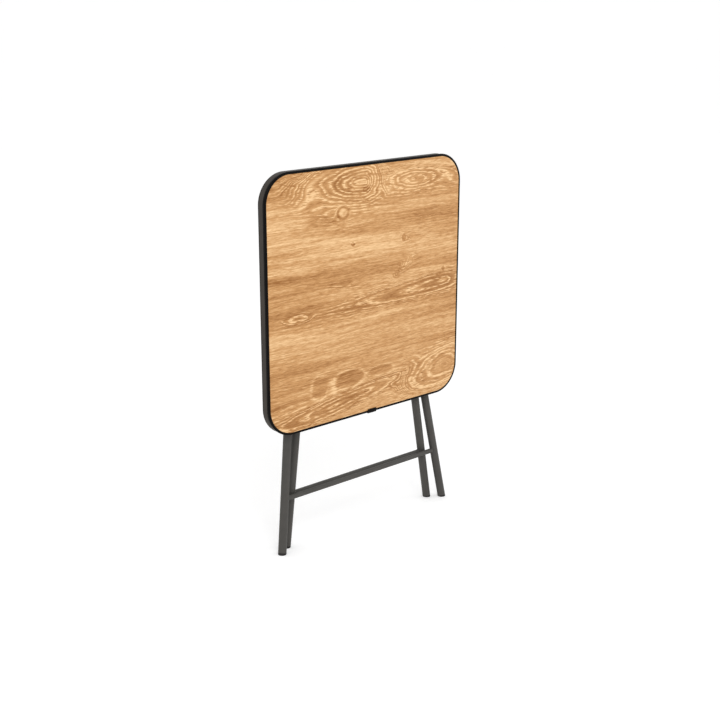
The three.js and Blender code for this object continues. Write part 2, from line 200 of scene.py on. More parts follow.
# %% Write shader nodes like sums
class Finish:
    """One material and short calls that add nodes to it. A value is a socket or a number."""

    def __init__(self, name, colour, roughness, metallic=0.0, shine=0.5):
        self.material = bpy.data.materials.new(name)
        self.material.use_nodes = True
        self.nodes = self.material.node_tree.nodes
        self.links = self.material.node_tree.links
        self.shader = self.nodes["Principled BSDF"]
        self.shader.inputs["Base Color"].default_value = (*colour, 1)
        self.shader.inputs["Roughness"].default_value = roughness
        self.shader.inputs["Metallic"].default_value = metallic
        self.shader.inputs["Specular IOR Level"].default_value = shine
        self.place = self.nodes.new("ShaderNodeTexCoord").outputs["Object"]

    def fill(self, socket, value):
        """Wires a socket, or writes a plain value into it."""
        if isinstance(value, bpy.types.NodeSocket):
            self.links.new(value, socket)
        else:
            socket.default_value = value

    def sum(self, operation, *values):
        """A Math node."""
        node = self.nodes.new("ShaderNodeMath")
        node.operation = operation
        for socket, value in zip(node.inputs, values):
            self.fill(socket, value)
        return node.outputs[0]

    def add(self, *values):
        """A chain of Math nodes that adds all the values."""
        total = values[0]
        for value in values[1:]:
            total = self.sum("ADD", total, value)
        return total

    def times(self, a, b):
        """A Math node that multiplies."""
        return self.sum("MULTIPLY", a, b)

    def step(self, value, low, high):
        """0 below low, 1 above high, and a smooth rise between them."""
        node = self.nodes.new("ShaderNodeMapRange")
        node.interpolation_type = "SMOOTHSTEP"
        for name, number in (("Value", value), ("From Min", low), ("From Max", high)):
            self.fill(node.inputs[name], number)
        return node.outputs["Result"]

    def vector(self, x, y, z):
        """A point made of three values."""
        node = self.nodes.new("ShaderNodeCombineXYZ")
        for socket, value in zip(node.inputs, (x, y, z)):
            self.fill(socket, value)
        return node.outputs[0]

    def noise(self, vector, scale, detail=2.0, roughness=0.5):
        """A Noise texture's value, from 0 to 1 about a middle of 0.5."""
        node = self.nodes.new("ShaderNodeTexNoise")
        self.fill(node.inputs["Vector"], vector)
        node.inputs["Scale"].default_value = scale
        node.inputs["Detail"].default_value = detail
        node.inputs["Roughness"].default_value = roughness
        return node.outputs["Fac"]

    def ramp(self, value, stops):
        """A colour for each stop, blended between them."""
        node = self.nodes.new("ShaderNodeValToRGB")
        self.fill(node.inputs["Fac"], value)
        elements = node.color_ramp.elements
        while len(elements) < len(stops):
            elements.new(0.5)
        for element, (position, colour) in zip(elements, stops):
            element.position = position
            element.color = (*colour, 1)
        return node.outputs["Color"]

    def bump(self, height, strength, distance):
        """Relief, wired to the shader's normal."""
        node = self.nodes.new("ShaderNodeBump")
        node.inputs["Strength"].default_value = strength
        node.inputs["Distance"].default_value = distance
        self.fill(node.inputs["Height"], height)
        self.links.new(node.outputs["Normal"], self.shader.inputs["Normal"])


print("the finish kit is ready")

# %% [markdown]
# ## Oak-print laminate
#
# The face is a printed picture of flat-sawn oak under a satin wear layer. In flat-sawn wood the
# growth rings run as long lines that bend round knots and close into eyes. A wave texture gives
# stiff, even stripes, so the print is built from a height map instead: the height rises evenly
# across the board, smooth hills are added where the figure is, and noise is read along the
# height, which draws its contour lines. Streaks and threads follow the same contours.

# %% Lay out the hills and eyes of the print
# Each hill: centre along and across the face, half length, half width, turn in degrees, height.
# Millimetres, from the middle of the face, seen from the front with the hinged edge up.
HILLS = (
    (-120, 186, 62, 20, -18, 10),
    (-48, 117, 9, 6, 0, 7),
    (112, 40, 44, 10, 34, 26),
    (-60, 22, 60, 9, -10, 8),
    (-300, -290, 230, 60, 0, 36),
)
# Each eye: centre, reach to the left, reach to the right, half width, turn, and -1 for a summit
# or 1 for a hollow. A summit runs into the lines below it and a hollow into those above.
EYES = (
    (-13, 258, 225, 70, 68, 0, -1),
    (137, 249, 88, 165, 36, 0, -1),
    (-78, 194, 21, 21, 16, 0, -1),
    (113, 112, 17, 16, 12, -30, -1),
    (247, -12, 360, 70, 30, 3, -0.62),
    (-217, -30, 38, 46, 14, 0, 0.7),
    (-110, -258, 230, 300, 27, 8, 0.8),
    (264, -228, 175, 100, 66, 12, 0.8),
)
RING_PITCH = 6.8 * MM
print(len(HILLS), "hills,", len(EYES), "eyes and rings", round(RING_PITCH / MM, 1), "mm apart")

# %% Lay out the knots and patches
# Tone added in a patch: centre, half length, half width, depth, how soft its outline is, and
# how bright a line runs round it.
PATCHES = (
    (-60, -203, 42, 20, -0.19, 0.20, 0.32),
    (-150, -207, 26, 25, -0.15, 0.30, 0.24),
    (256, -226, 50, 25, -0.20, 0.25, 0.26),
    (42, -199, 38, 11, -0.14, 0.25, 0.16),
    (-7, 239, 12, 7, -0.36, 0.20, 0),
    (128, 108, 40, 13, -0.14, 0.30, 0),
    (-132, 184, 46, 14, -0.20, 0.30, 0),
    (-78, 193, 19, 16, -0.26, 0.12, 0.10),
    (-78, 194, 12, 10.5, 0.52, 0.22, 0),
    (-76, 192, 4, 4, -0.16, 0.5, 0),
    (-110, -206, 10, 26, 0.18, 0.5, 0),
    (-22, 257, 28, 8, 0.24, 0.25, 0),
    (-48, 117, 6, 5, -0.55, 0.20, 0),
    (112, 113, 7, 9, -0.30, 0.20, 0.14),
    (247, -10, 15, 4, 0.34, 0.25, 0),
    (246, 20, 6, 5, -0.30, 0.20, 0.10),
    (-217, -30, 20, 7, 0.16, 0.30, 0),
)
print(len(PATCHES), "patches")

# %% Measure how far out a point lies in an oval
def reach(oak, along, across, centre, left, right, half_width, turn=0):
    """How far out a point lies in an oval: 0 at its centre and 1 on its outline."""
    cos, sin = math.cos(math.radians(turn)), math.sin(math.radians(turn))
    u = oak.add(along, -centre[0] * MM)
    v = oak.add(across, -centre[1] * MM)
    long = oak.add(oak.times(u, cos), oak.times(v, sin))
    long = oak.sum("MAXIMUM", oak.times(long, -1 / (left * MM)), oak.times(long, 1 / (right * MM)))
    wide = oak.times(oak.add(oak.times(v, cos), oak.times(u, -sin)), 1 / (half_width * MM))
    return oak.sum("SQRT", oak.add(oak.times(long, long), oak.times(wide, wide)))


print("an oval runs from 0 in its middle to 1 on its outline")

# %% Draw the height map
SHIVER = 5 * MM          # how far the lines shake across the grain
SWAY = 60 * MM           # how far an outline is pulled along the grain
DRIFT = 26 * MM          # how far the lines wander over the whole board
panel_low, panel_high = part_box("top_panel")
FACE_MIDDLE = (panel_low.z + panel_high.z) / 2


def lines(oak, along, level, stretch, pitch, seed, detail=2.0):
    """Noise drawn out along the grain: cycles per metre along, and across the rings."""
    point = oak.vector(oak.times(along, stretch), seed, oak.times(level, pitch))
    return oak.add(oak.noise(point, 1.0, detail, 0.6), -0.5)


def without(oak, value):
    """1 where the value is 0, and 0 where it is 1."""
    return oak.sum("SUBTRACT", 1.0, value)


def draw_height(oak, along, across, wobble, sway):
    """The height, and how strongly its rings are drawn: 1 over a hill or an eye."""
    height = oak.add(wobble, oak.times(lines(oak, along, across, 2.2, 7.0, 0.0), DRIFT))
    figured = 0.0
    for u, v, half_long, half_wide, slant, rise in HILLS:
        out = reach(oak, along, across, (u, v), half_long, half_long, half_wide, slant)
        fall = oak.sum("POWER", math.e, oak.times(oak.times(out, out), -1.0))
        height = oak.add(height, oak.times(fall, rise * MM))
        figured = oak.sum("MAXIMUM", figured, oak.times(fall, 0.8))
    for u, v, left, right, half_wide, slant, sign in EYES:
        out = reach(oak, sway, wobble, (u, v), left, right, half_wide, slant)
        cone = oak.add(v * MM, oak.times(out, sign * half_wide * MM))
        inside = without(oak, oak.step(out, 0.62, 1.15))
        height = oak.add(height, oak.times(inside, oak.sum("SUBTRACT", cone, height)))
        figured = oak.sum("MAXIMUM", figured, without(oak, oak.step(out, 0.7, 1.35)))
    return height, figured


print("the face's middle is", round(FACE_MIDDLE / MM), "mm above the floor")

# %% Fill the patches
LARGE_PATCH = 25         # a patch longer than this sways with the grain


def fill_patches(oak, along, wobble, sway, flecks):
    """The tone the patches add, and where they cover the rings."""
    fills, filled = 0.0, 0.0
    for u, v, half_long, half_wide, depth, soft, outline in PATCHES:
        level = sway if half_long > LARGE_PATCH else along
        out = reach(oak, level, wobble, (u, v), half_long, half_long, half_wide)
        spot = without(oak, oak.step(out, 1 - soft, 1 + soft))
        fills = oak.add(fills, oak.times(spot, depth))
        if outline:
            edge = oak.sum("SUBTRACT", oak.step(out, 0.95, 1.12), oak.step(out, 1.2, 1.45))
            edge = oak.times(edge, oak.add(0.7, oak.times(flecks, 4.0)))
            fills = oak.add(fills, oak.times(edge, outline))
            filled = oak.sum("MAXIMUM", filled, spot)
    return fills, filled


print(sum(1 for patch in PATCHES if patch[-1]), "patches have a bright outline")

# %% Mix the oak print
OAK_DARK = (0.335, 0.128, 0.020)
OAK_MIDDLE = (0.620, 0.318, 0.114)
OAK_LIGHT = (0.945, 0.620, 0.315)
SATIN = 0.44             # the wear layer's roughness


def make_oak():
    """The laminate's printed oak."""
    oak = Finish("oak laminate", OAK_MIDDLE, SATIN, shine=0.4)
    split = oak.nodes.new("ShaderNodeSeparateXYZ")
    oak.links.new(oak.place, split.inputs[0])
    along = split.outputs["X"]
    across = oak.add(split.outputs["Z"], -FACE_MIDDLE)
    wobble = oak.add(across, oak.times(lines(oak, along, across, 24.0, 60.0, 1.7), SHIVER))
    sway = oak.add(along, oak.times(lines(oak, along, across, 14.0, 22.0, 6.1), SWAY))
    height, figured = draw_height(oak, along, across, wobble, sway)

    # The printed lines, from the broadest to the finest. The first three follow the height.
    bands = lines(oak, along, height, 1.3, 15.0, 3.1)
    streaks = lines(oak, along, height, 2.6, 80.0, 9.4, 3.0)
    threads = lines(oak, along, height, 8.0, 390.0, 5.2)
    flecks = lines(oak, along, wobble, 58.0, 500.0, 7.7)
    pores = lines(oak, along, across, 130.0, 900.0, 2.3, 1.0)
    fills, filled = fill_patches(oak, along, wobble, sway, flecks)
    figured = oak.times(figured, without(oak, filled))

    # The rings are the height's contour lines: a bright late edge and a duller early one.
    phase = oak.add(oak.times(height, 2 * math.pi / RING_PITCH), oak.times(streaks, 5.0))
    wave = oak.sum("SINE", phase)
    bright = oak.times(oak.step(wave, 0.0, 0.95), oak.add(0.52, oak.times(flecks, 4.5)))
    dull = oak.step(wave, -0.2, -1.0)
    tone = oak.add(
        0.51,
        fills,
        oak.times(bands, 1.45),
        oak.times(streaks, 0.95),
        oak.times(threads, 0.70),
        oak.times(flecks, 0.95),
        oak.times(oak.times(bright, oak.add(0.10, figured)), 0.68),
        oak.times(oak.times(dull, oak.add(0.10, figured)), -0.12),
        oak.times(figured, -0.10),
        oak.times(oak.step(pores, 0.10, 0.22), -0.18),
    )
    colour = oak.ramp(tone, ((0.0, OAK_DARK), (0.5, OAK_MIDDLE), (1.0, OAK_LIGHT)))
    oak.fill(oak.shader.inputs["Base Color"], colour)
    oak.fill(oak.shader.inputs["Roughness"], oak.add(SATIN, oak.times(flecks, 0.12)))
    oak.bump(oak.add(oak.times(pores, 0.5), flecks), 0.12, 0.3 * MM)
    return oak.material


oak_laminate = make_oak()
print("the oak print takes", len(oak_laminate.node_tree.nodes), "nodes")

# %% [markdown]
# ## Painted steel, plastic and zinc
#
# Powder coat is baked from powder, so it is never dead flat: under a low light it has a soft
# orange-peel skin. Moulded plastic carries a fine spark-eroded grain, and plated screws have
# tiny brush marks and slightly uneven tarnish. Each could have a tree of its own, but all of
# these are fine noise in the bump, with a slower noise that moves the colour and the gloss by a
# few percent, so one function makes them. The blacks get a low specular level, or they would
# mirror the white world and turn grey.


# %% Write a speckled finish
def speckled(name, colour, roughness, skin, depth, metallic=0.0, shine=0.5, mottle=0.06):
    """A finish with a fine skin in relief and a slow drift of tone and gloss."""
    finish = Finish(name, colour, roughness, metallic, shine)
    slow = finish.add(finish.noise(finish.place, 23.0, 3.0), -0.5)
    fine = finish.noise(finish.place, skin, 2.0)
    darker = tuple(channel * (1 - mottle * 2) for channel in colour)
    lighter = tuple(min(1.0, channel * (1 + mottle * 2)) for channel in colour)
    tone = finish.add(0.5, finish.times(slow, 1.2), finish.times(finish.add(fine, -0.5), 0.5))
    shade = finish.ramp(tone, ((0.2, darker), (0.8, lighter)))
    finish.fill(finish.shader.inputs["Base Color"], shade)
    gloss = finish.add(roughness, finish.times(slow, 0.16))
    finish.fill(finish.shader.inputs["Roughness"], gloss)
    finish.bump(fine, 0.35, depth)
    return finish.material


print("speckled finishes are ready")

# %% Make the other finishes
# Skins in grains per metre: paint's orange peel, and the finer grains of plastic and plating.
PAINT_SKIN = 900.0
PLASTIC_SKIN = 2200.0
PLATED_SKIN = 1500.0
PAPER_SKIN = 500.0

FINISHES = {
    "oak_laminate": oak_laminate,
    "powder_coat": speckled(
        "powder coat", (0.080, 0.076, 0.070), 0.46, PAINT_SKIN, 0.12 * MM, shine=0.16
    ),
    "rim_coat": speckled(
        "rim paint", (0.055, 0.047, 0.040), 0.44, PAINT_SKIN, 0.10 * MM, shine=0.18
    ),
    # The rim's black finish: the bead's and the clip's own black, and also painted shade on the
    # skirt's groove and hem faces.
    "rim_black_and_painted_shade": speckled(
        "rim black and painted shade", (0.0042, 0.0034, 0.0030), 0.34, PAINT_SKIN, 0.04 * MM, shine=0.07
    ),
    "black_plastic": speckled(
        "black plastic", (0.020, 0.018, 0.017), 0.50, PLASTIC_SKIN, 0.08 * MM, shine=0.3
    ),
    "zinc": speckled("zinc plate", (0.56, 0.57, 0.58), 0.32, PLATED_SKIN, 0.03 * MM, metallic=1.0),
    "backing": speckled("laminate backing", (0.30, 0.225, 0.155), 0.62, PAPER_SKIN, 0.10 * MM),
}
print("finishes:", ", ".join(sorted(FINISHES)))

# %% [markdown]
# ## Tools for the pieces
#
# Nearly everything here is turned, swept or bent, so three mesh tools make most of it. Turning
# spins an outline round an axis, like a lathe. Sweeping carries an outline along a path. A
# modifier would do both, but direct mesh code gives clean quads and exact places. The first
# tool hangs a finished mesh on the body it belongs to and hides the plain part it stands for.

# %% Hang a piece on its body
SMOOTH_ANGLE = math.radians(32)


def body_of_node(node):
    """The moving body that a measured part belongs to."""
    bodies = frame["record"]["behaviour"]["bodies"]
    return next(body for body, members in bodies.items() if node in members)


def slot_of_node(node):
    """The material slot that a measured part uses."""
    return next(row["material_slot"] for row in frame["record"]["subparts"] if row["node"] == node)


def hang(name, shape, node, slot=None, hide=True):
    """Makes an object of a mesh in progress, finishes it and lets it ride with a part's body."""
    mesh = bpy.data.meshes.new(name)
    bmesh.ops.recalc_face_normals(shape, faces=shape.faces)
    shape.to_mesh(mesh)
    shape.free()
    mesh.polygons.foreach_set("use_smooth", [True] * len(mesh.polygons))
    mesh.set_sharp_from_angle(angle=SMOOTH_ANGLE)
    slot = slot or slot_of_node(node)
    mesh.materials.append(FINISHES[slot])
    piece = bpy.data.objects.new(name, mesh)
    bpy.context.scene.collection.objects.link(piece)
    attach(piece, body_of_node(node))
    if hide:
        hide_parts(node)
    return piece


# %% Skin a row of rings, and turn an outline
ROUND = 64               # steps round a tube
WELD_WITHIN = 1e-6       # points nearer than this are one point


def skin(shape, rings, closed_path):
    """Joins a row of equal rings of points with quads."""
    grid = [[shape.verts.new(point) for point in ring] for ring in rings]
    count = len(grid[0])
    last = len(grid) if closed_path else len(grid) - 1
    for row, column in product(range(last), range(count)):
        here, there = grid[row], grid[(row + 1) % len(grid)]
        across = (column + 1) % count
        shape.faces.new((here[column], here[across], there[across], there[column]))
    return grid


def turn(outline, start, axis, shape=None, steps=ROUND, radius_at=None):
    """Spins (radius, distance) points round an axis. Ends on the axis close; others are joined."""
    shape = shape or bmesh.new()
    axis = Vector(axis).normalized()
    side = axis.orthogonal().normalized()
    if abs(axis.x) > 0.9:
        side = Vector((0, 0, 1))
    other = axis.cross(side)
    rings = []
    for step in range(steps):
        angle = 2 * math.pi * step / steps
        out = side * math.cos(angle) + other * math.sin(angle)
        stretch = radius_at(angle) if radius_at else (lambda radius, distance: (radius, distance))
        ring = []
        for radius, distance in outline:
            wide, far = stretch(radius, distance)
            ring.append(Vector(start) + out * wide + axis * far)
        rings.append(ring)
    skin(shape, rings, True)
    bmesh.ops.remove_doubles(shape, verts=shape.verts, dist=WELD_WITHIN)
    bmesh.ops.dissolve_degenerate(shape, edges=shape.edges, dist=WELD_WITHIN)
    return shape


print("a turned piece has", ROUND, "steps round it")

# %% Draw an arc, and find a bar's centre line
CENTRE_TRIES = 30        # each try brings the direction closer


def bend(centre, radius, start, end, steps=5):
    """Points of an arc in an outline; angles in degrees."""
    angles = [math.radians(start + (end - start) * step / steps) for step in range(steps + 1)]
    return [(centre[0] + radius * math.cos(a), centre[1] + radius * math.sin(a)) for a in angles]


def centre_line(node, radius, way):
    """Both ends of a straight round bar's centre line, worked out from the box it fills."""
    low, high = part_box(node)
    size = high - low
    direction = size.normalized()
    for _ in range(CENTRE_TRIES):
        discs = Vector(2 * radius * math.sqrt(max(0.0, 1 - c * c)) for c in direction)
        along = size - discs
        direction = along.normalized()
    half = Vector(sign * part / 2 for sign, part in zip(way, along))
    return (low + high) / 2 - half, (low + high) / 2 + half


print("an outline can bend, and a box tells where its bar runs")

# %% [markdown]
# ## Legs
#
# The legs are straight lengths of 20 mm steel tube with a thin wall. A plain cylinder would look
# solid at its open top and knife-sharp at its cut ends, so the outline that is turned runs up
# the outside, rolls over the cut edge and comes back down the inside of the wall.

# %% Draw the tube's wall
TUBE_RADIUS = 10 * MM
TUBE_WALL = 1.2 * MM
CUT_EDGE = 0.35 * MM     # rounding on a deburred tube end


def tube_outline(radius, wall, length):
    """A tube's wall in section, with its cut edges slightly rounded."""
    inner = radius - wall
    edge = CUT_EDGE
    return (
        bend((radius - edge, edge), edge, -90, 0, 3)
        + bend((radius - edge, length - edge), edge, 0, 90, 3)
        + bend((inner + edge, length - edge), edge, 90, 180, 3)
        + bend((inner + edge, edge), edge, 180, 270, 3)
    )


def closed(outline):
    """An outline that ends where it starts, so that turning it closes the wall."""
    return [*outline, outline[0]]


print("the tube is", round(2 * TUBE_RADIUS / MM), "mm wide, its wall", round(TUBE_WALL / MM, 1), "mm")

# %% Turn the four legs
leg_lines = {}
for frame_name, (word, side) in product(("outer", "inner"), SIDES.items()):
    node = f"{frame_name}_leg_{word}"
    foot_end, top_end = centre_line(node, TUBE_RADIUS, (-side, 1, 1))
    leg_lines[frame_name, word] = (foot_end, top_end)
    outline = tube_outline(TUBE_RADIUS, TUBE_WALL, (top_end - foot_end).length)
    hang(f"{node}_tube", turn(closed(outline), foot_end, top_end - foot_end), node)
print("legs:", {key: round((b - a).length / MM) for key, (a, b) in leg_lines.items()}, "mm long")

# %% [markdown]
# ## Feet and end plugs
#
# A moulded plug closes each tube end. The foot plugs have a short collar with a well rounded
# edge, and the part that meets the floor is cut level, because the legs splay and lean. The
# top plugs are low domes. Each is turned, and the feet are then sliced at the floor.

# %% Draw a foot plug
COLLAR_REACH = 7 * MM
COLLAR_ROUND = 2.2 * MM
FOOT_STEM = 6 * MM       # how far the plug goes up into its tube
SEAM = 0.3 * MM          # the line between a plug and its tube


def foot_plug(foot_end, top_end):
    """A collar below the tube's end, level with the floor."""
    axis = (foot_end - top_end).normalized()
    outline = [
        (0, -FOOT_STEM),
        (TUBE_RADIUS - TUBE_WALL, -FOOT_STEM),
        (TUBE_RADIUS - TUBE_WALL, SEAM),
        (TUBE_RADIUS - SEAM, SEAM),
        *bend((TUBE_RADIUS - SEAM, 2 * SEAM), SEAM, -90, 0, 3),
        *bend((TUBE_RADIUS - COLLAR_ROUND, COLLAR_REACH - COLLAR_ROUND), COLLAR_ROUND, 0, 90, 6),
        (0, COLLAR_REACH),
    ]
    shape = turn(outline, foot_end, axis)
    cut = bmesh.ops.bisect_plane(
        shape,
        geom=[*shape.verts, *shape.edges, *shape.faces],
        plane_co=(0, 0, 0),
        plane_no=(0, 0, -1),
        clear_outer=True,
    )
    rim_edges = [e for e in cut["geom_cut"] if isinstance(e, bmesh.types.BMEdge)]
    bmesh.ops.holes_fill(shape, edges=rim_edges, sides=0)
    return shape


print("a foot's collar is", round(COLLAR_REACH / MM), "mm long before it is cut level")

# %% Draw a top plug, and close the tubes
CAP_STEM = 5 * MM
DOME_HEIGHT = 2.6 * MM
DOME_EDGE = 0.8 * MM     # the dome's straight side


def top_plug(foot_end, top_end):
    """A low dome above the tube's end."""
    shoulder = TUBE_RADIUS - 0.2 * MM
    dome = [
        (shoulder * math.cos(a), SEAM + DOME_EDGE + (DOME_HEIGHT - DOME_EDGE) * math.sin(a))
        for a in (math.pi / 2 * step / 10 for step in range(11))
    ]
    outline = [
        (0, -CAP_STEM),
        (TUBE_RADIUS - TUBE_WALL, -CAP_STEM),
        (TUBE_RADIUS - TUBE_WALL, SEAM),
        (shoulder - SEAM, SEAM),
        (shoulder, 2 * SEAM),
        *dome[:-1],
        (0, SEAM + DOME_HEIGHT),
    ]
    return turn(outline, top_end, top_end - foot_end)


for (frame_name, word), ends in leg_lines.items():
    hang(f"{frame_name}_foot_{word}_plug", foot_plug(*ends), f"{frame_name}_foot_{word}")
    hang(f"{frame_name}_top_cap_{word}", top_plug(*ends), f"{frame_name}_top_plug_{word}")
print("eight plugs close the tubes")

# %% [markdown]
# ## Cross tubes and their welds
#
# Each frame is braced by a thin stretcher near the floor, and the inner frame has a bar under
# the top as well. They are butted against the legs and welded, and a small bead of weld is what
# tells a welded frame from a glued one. The bead follows the curve of the leg, so each of its
# points is first pushed out along the cross tube until it lies on the leg's surface.

# %% Turn a cross tube
def cross_tube(node, radius, wall):
    """A level tube between two legs."""
    low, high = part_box(node)
    middle = (low + high) / 2
    start = Vector((low.x, middle.y, middle.z))
    outline = tube_outline(radius, wall, high.x - low.x)
    hang(f"{node}_tube", turn(closed(outline), start, (1, 0, 0)), node)
    return middle


print("a cross tube takes its length from the box it fills")

# %% Lay the weld beads
random.seed(7)
BEAD = 1.1 * MM
BEAD_STEPS = 40          # round the cross tube
BEAD_SIDES = 8           # round the bead itself


def weld(frame_name, word, node, middle, radius):
    """A ring of weld where a cross tube meets a leg."""
    foot_end, top_end = leg_lines[frame_name, word]
    axis = (top_end - foot_end).normalized()
    inwards = -SIDES[word]
    shape = bmesh.new()
    rings = []
    for step in range(BEAD_STEPS):
        angle = 2 * math.pi * step / BEAD_STEPS
        out = Vector((0, math.cos(angle), math.sin(angle)))
        point = Vector((0, middle.y, middle.z)) + out * (radius + 0.3 * MM)
        near = intersect_line_line(point, point + Vector((1, 0, 0)), foot_end, top_end)
        gap = (near[0] - near[1]).length
        run = math.sqrt(max(0.0, TUBE_RADIUS**2 - gap**2)) / math.hypot(axis.y, axis.z)
        point.x = near[0].x + inwards * run
        size = BEAD * (1 + 0.16 * math.sin(step * math.pi / 2)) * random.uniform(0.92, 1.08)
        rings.append(
            [
                point + (out * math.cos(a) + Vector((inwards, 0, 0)) * math.sin(a)) * size
                for a in (2 * math.pi * side / BEAD_SIDES for side in range(BEAD_SIDES))
            ]
        )
    skin(shape, rings, True)
    hang(f"{node}_weld_{word}", shape, f"{frame_name}_leg_{word}", hide=False)


for frame_name, node, radius, wall in (
    ("outer", "outer_stretcher", 6 * MM, 1.0 * MM),
    ("inner", "inner_stretcher", 6 * MM, 1.0 * MM),
    ("inner", "catch_bar", 8 * MM, 1.2 * MM),
):
    tube_middle = cross_tube(node, radius, wall)
    for word in SIDES:
        weld(frame_name, word, node, tube_middle, radius)
print("three cross tubes and six welds")

# %% [markdown]
# ## Bolts, nuts, spacers and sleeves
#
# The frames pivot on plated bolts, and the top hangs on two more. A hexagon looks right only
# with its corners chamfered, as a real nut is faced in a lathe. The radius of a turned outline
# is stretched to the hexagon all the way round, and held under a cone near each face.

# %% Stretch a circle to a hexagon
BOLT_RADIUS = 4 * MM
HEX_RADIUS = 6.5 * MM
HEX_FLAT = HEX_RADIUS * math.cos(math.pi / 6)
FACED = 0.98             # the flat disc on a nut's face, as a share of its half width
CHAMFER = math.tan(math.radians(30))
HEX_STEPS = 96           # steps round a hexagon


def hexagon(length):
    """A stretch for turn(): from a circle to a hexagon with faced corners."""

    def at(angle):
        bearing = (angle + math.pi / 6) % (math.pi / 3) - math.pi / 6
        corner = HEX_FLAT / math.cos(bearing)

        def stretch(radius, distance):
            if radius < HEX_RADIUS * 0.99:
                return radius, distance
            drop = max(0.0, corner - HEX_FLAT * FACED) * CHAMFER
            if distance <= 0:
                return corner, drop
            return (corner, length - drop) if distance >= length else (corner, distance)

        return stretch

    return at


print("a nut is", round(2 * HEX_FLAT / MM, 1), "mm across its flats")

# %% Draw a nut
def lie(node):
    """Start, outward direction and length of a part that lies along X."""
    low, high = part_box(node)
    middle = (low + high) / 2
    way = 1 if middle.x > 0 else -1
    start = Vector((low.x if way > 0 else high.x, middle.y, middle.z))
    return start, Vector((way, 0, 0)), high.x - low.x


def hex_outline(length, bore):
    """A nut or head in section: faced top and bottom, and a hole or none."""
    flat = HEX_FLAT * FACED
    front = [(bore, 0), (flat, 0), (HEX_RADIUS, 0)]
    back = [(HEX_RADIUS, length), (flat, length), (bore, length)]
    return front + back


def make_nut(node):
    """A faced hexagon nut."""
    start, way, length = lie(node)
    outline = hex_outline(length, BOLT_RADIUS + 0.1 * MM)
    outline.append(outline[0])
    shape = turn(outline, start, way, steps=HEX_STEPS, radius_at=hexagon(length))
    hang(f"{node}_hex", shape, node)


print("a hexagon has", HEX_STEPS, "steps round it")

# %% Draw a bolt
HEAD_LENGTH = 4.5 * MM
THREAD_PITCH = 1.25 * MM
THREAD_DEPTH = 0.45 * MM


def make_bolt(node, head_inside):
    """A hexagon head and a threaded shank. The head faces the middle of the table or away."""
    start, way, length = lie(node)
    if not head_inside:
        start, way = start + way * length, -way
    head = HEAD_LENGTH
    shape = turn(hex_outline(head, 0), start, way, steps=HEX_STEPS, radius_at=hexagon(head))
    thread = []
    turns = int((length - head - 1 * MM) / THREAD_PITCH)
    for step in range(2 * turns):
        depth = THREAD_DEPTH if step % 2 else 0
        thread.append((BOLT_RADIUS - 0.1 * MM - depth, head + (step + 1) * THREAD_PITCH / 2))
    shank = [(0, head - 0.5 * MM), (BOLT_RADIUS - 0.5 * MM, head - 0.5 * MM), *thread]
    shank += [(BOLT_RADIUS - 1.0 * MM, length), (0, length)]
    turn(shank, start, way, shape)
    hang(f"{node}_hex", shape, node)


print("the thread's pitch is", round(THREAD_PITCH / MM, 2), "mm")

# %% Turn the hardware
def make_ring(node, bore, radius, edge):
    """A plain spacer or sleeve with rounded edges."""
    start, way, length = lie(node)
    ease = edge / 2
    outline = (
        bend((radius - edge, edge), edge, -90, 0, 4)
        + bend((radius - edge, length - edge), edge, 0, 90, 4)
        + [(bore + ease, length), (bore, length - ease), (bore, ease), (bore + ease, 0)]
    )
    hang(f"{node}_ring", turn(closed(outline), start, way), node)


for word in SIDES:
    for place in ("hinge", "pivot"):
        make_nut(f"{place}_nut_{word}")
        make_bolt(f"{place}_bolt_{word}", head_inside=place == "hinge")
        make_ring(f"{place}_spacer_{word}", BOLT_RADIUS + 0.2 * MM, 7 * MM, 0.5 * MM)
    make_ring(f"catch_sleeve_{word}", 8.2 * MM, 10.1 * MM, 0.7 * MM)
print("bolts, nuts, spacers and sleeves are turned")

# %% [markdown]
# ## Screws
#
# Short pan-head screws hold the rails and brackets to the panel. All twelve are the same, so
# one is made with its cross recess cut by a boolean, and copies of its mesh are set in place.
# The recess is worth cutting: it is what the eye looks for on a screw head.

# %% Cut one mesh with another
def cut(shape, cutter):
    """Takes one closed mesh from another with a boolean modifier, applied at once."""
    objects = []
    for name, source in (("stock", shape), ("cutter", cutter)):
        mesh = bpy.data.meshes.new(name)
        bmesh.ops.recalc_face_normals(source, faces=source.faces)
        source.to_mesh(mesh)
        source.free()
        made = bpy.data.objects.new(name, mesh)
        bpy.context.scene.collection.objects.link(made)
        objects.append(made)
    stock, tool = objects
    modifier = stock.modifiers.new("cut", "BOOLEAN")
    modifier.object = tool
    modifier.operation = "DIFFERENCE"
    modifier.solver = "EXACT"
    modifier.use_self = True
    result = bmesh.new()
    result.from_object(stock, bpy.context.evaluated_depsgraph_get())
    for made in objects:
        bpy.data.objects.remove(made)
    return result


print("the boolean cut is ready")

# %% Draw the screw and its recess
SCREW_HEAD = 4 * MM
SCREW_SHANK = 1.8 * MM
SCREW_PITCH = 0.9 * MM
RIDGE = 0.45 * MM
HEAD_HEIGHT = 2.2 * MM
SCREW_STEPS = 48         # steps round a screw
RECESS_WIDTH = 2.3       # half the cross, in millimetres
RECESS_SLOT = 0.45       # half of one slot
RECESS_DEPTH = 1.5 * MM
RECESS_TAPER = 0.55      # the cross at its bottom, as a share of its top


def cross_cutter():
    """Two crossed bars that taper, standing on the screw's head along -Y."""
    shape = bmesh.new()
    for width, breadth in ((RECESS_WIDTH, RECESS_SLOT), (RECESS_SLOT, RECESS_WIDTH)):
        bar = bmesh.ops.create_cube(shape, size=1.0)
        for vertex in bar["verts"]:
            deep = vertex.co.z > 0
            taper = RECESS_TAPER if deep else 1.0
            vertex.co.x *= 2 * width * taper * MM
            vertex.co.y *= 2 * breadth * taper * MM
            vertex.co.z = RECESS_DEPTH if deep else -1 * MM
    return shape


